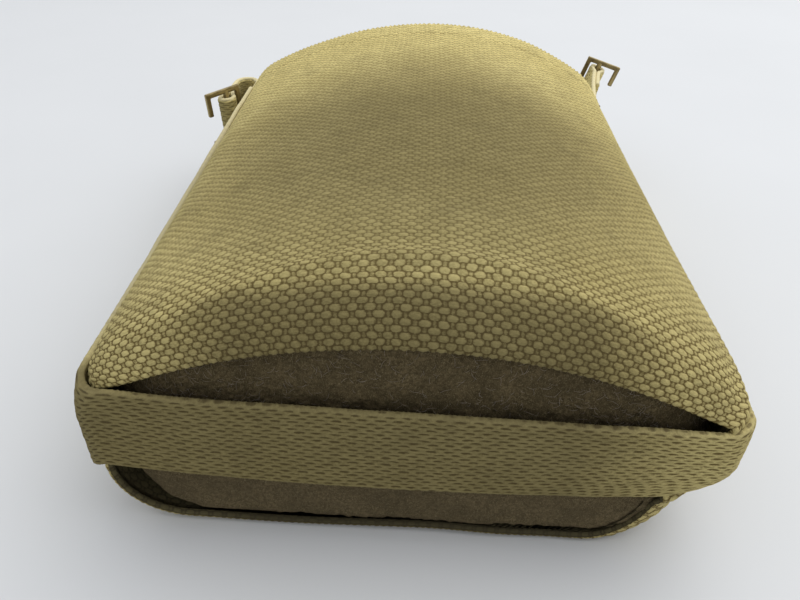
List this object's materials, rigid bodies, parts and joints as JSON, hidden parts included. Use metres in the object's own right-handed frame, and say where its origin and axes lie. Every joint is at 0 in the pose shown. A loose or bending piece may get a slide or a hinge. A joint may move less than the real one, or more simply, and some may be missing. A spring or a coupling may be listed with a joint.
{
  "type": "canteen",
  "caption": "Felt-covered kidney-section water bottle in a webbing sleeve carrier, with a corded cork stopper and open-ended brass strap buckles.",
  "frame": {"origin": "middle of the back panel's flat outer face, which the canteen lies on", "axes": "+X to the carrier's right, +Y from the base strap to the bottle's neck, +Z out of the domed front panel"},
  "size_m": [0.2003, 0.2655, 0.0803],
  "materials": {
    "panel_webbing": "coarse woven cotton webbing, khaki tan",
    "strip_webbing": "close-woven one-inch cotton webbing, khaki tan",
    "thread": "waxed linen sewing thread",
    "felt": "brown wool felt with pale loose fibres",
    "brass": "dull tarnished brass",
    "enamel": "dark blue vitreous enamel on steel",
    "cork": "natural cork",
    "tinned_wire": "dull tinned steel",
    "cord": "laid cotton cord"
  },
  "bodies": {
    "carrier": {"front_panel": "panel_webbing", "back_panel": "panel_webbing", "gusset_strip": "strip_webbing", "front_seam_thread": "thread", "back_seam_thread": "thread"},
    "bottle": {"bottle_base": "enamel", "bottle_wall": "enamel", "bottle_shoulder": "enamel", "bottle_neck": "enamel", "felt_front": "felt", "felt_back": "felt", "felt_seam_thread": "thread", "stopper_cord": "cord"},
    "stopper": {"cork": "cork", "cork_top_washer": "tinned_wire", "cork_bottom_washer": "tinned_wire", "stopper_spindle": "tinned_wire"},
    "ring": {"stopper_ring": "tinned_wire"},
    "right_chape": {"chape_right": "strip_webbing", "chape_right_thread": "thread"},
    "left_chape": {"chape_left": "strip_webbing", "chape_left_thread": "thread"},
    "right_buckle": {"buckle_right": "brass"},
    "left_buckle": {"buckle_left": "brass"}
  },
  "joints": [
    {"name": "bottle_slide", "type": "slide", "parent": "carrier", "child": "bottle", "axis": [0, 1, 0], "range_m": [0, 0.235]},
    {"name": "stopper_pull", "type": "slide", "parent": "bottle", "child": "stopper", "axis": [0, 1, 0], "range_m": [0, 0.05], "deforming": ["stopper_cord"]},
    {"name": "stopper_ring_swing", "type": "hinge", "parent": "stopper", "child": "ring", "pos_m": [0, 0.145, 0.038], "axis": [1, 0, 0], "range_deg": [-80, 120]},
    {"name": "chape_right_fold", "type": "hinge", "parent": "carrier", "child": "right_chape", "pos_m": [0.08, 0.104, 0.0364], "axis": [0, 0, 1], "range_deg": [-98, 0]},
    {"name": "chape_left_fold", "type": "hinge", "parent": "carrier", "child": "left_chape", "pos_m": [-0.085, 0.117, 0.0364], "axis": [0, 0, 1], "range_deg": [-110, 1]},
    {"name": "buckle_right_swing", "type": "hinge", "parent": "right_chape", "child": "right_buckle", "pos_m": [0.088, 0.157, 0.0364], "axis": [0.2717, -0.0461, 0.9613], "range_deg": [-65, 48]},
    {"name": "buckle_left_swing", "type": "hinge", "parent": "left_chape", "child": "left_buckle", "pos_m": [-0.089, 0.091, 0.0364], "axis": [-0.0698, 0, 0.9976], "range_deg": [-12, 2]}
  ]
}
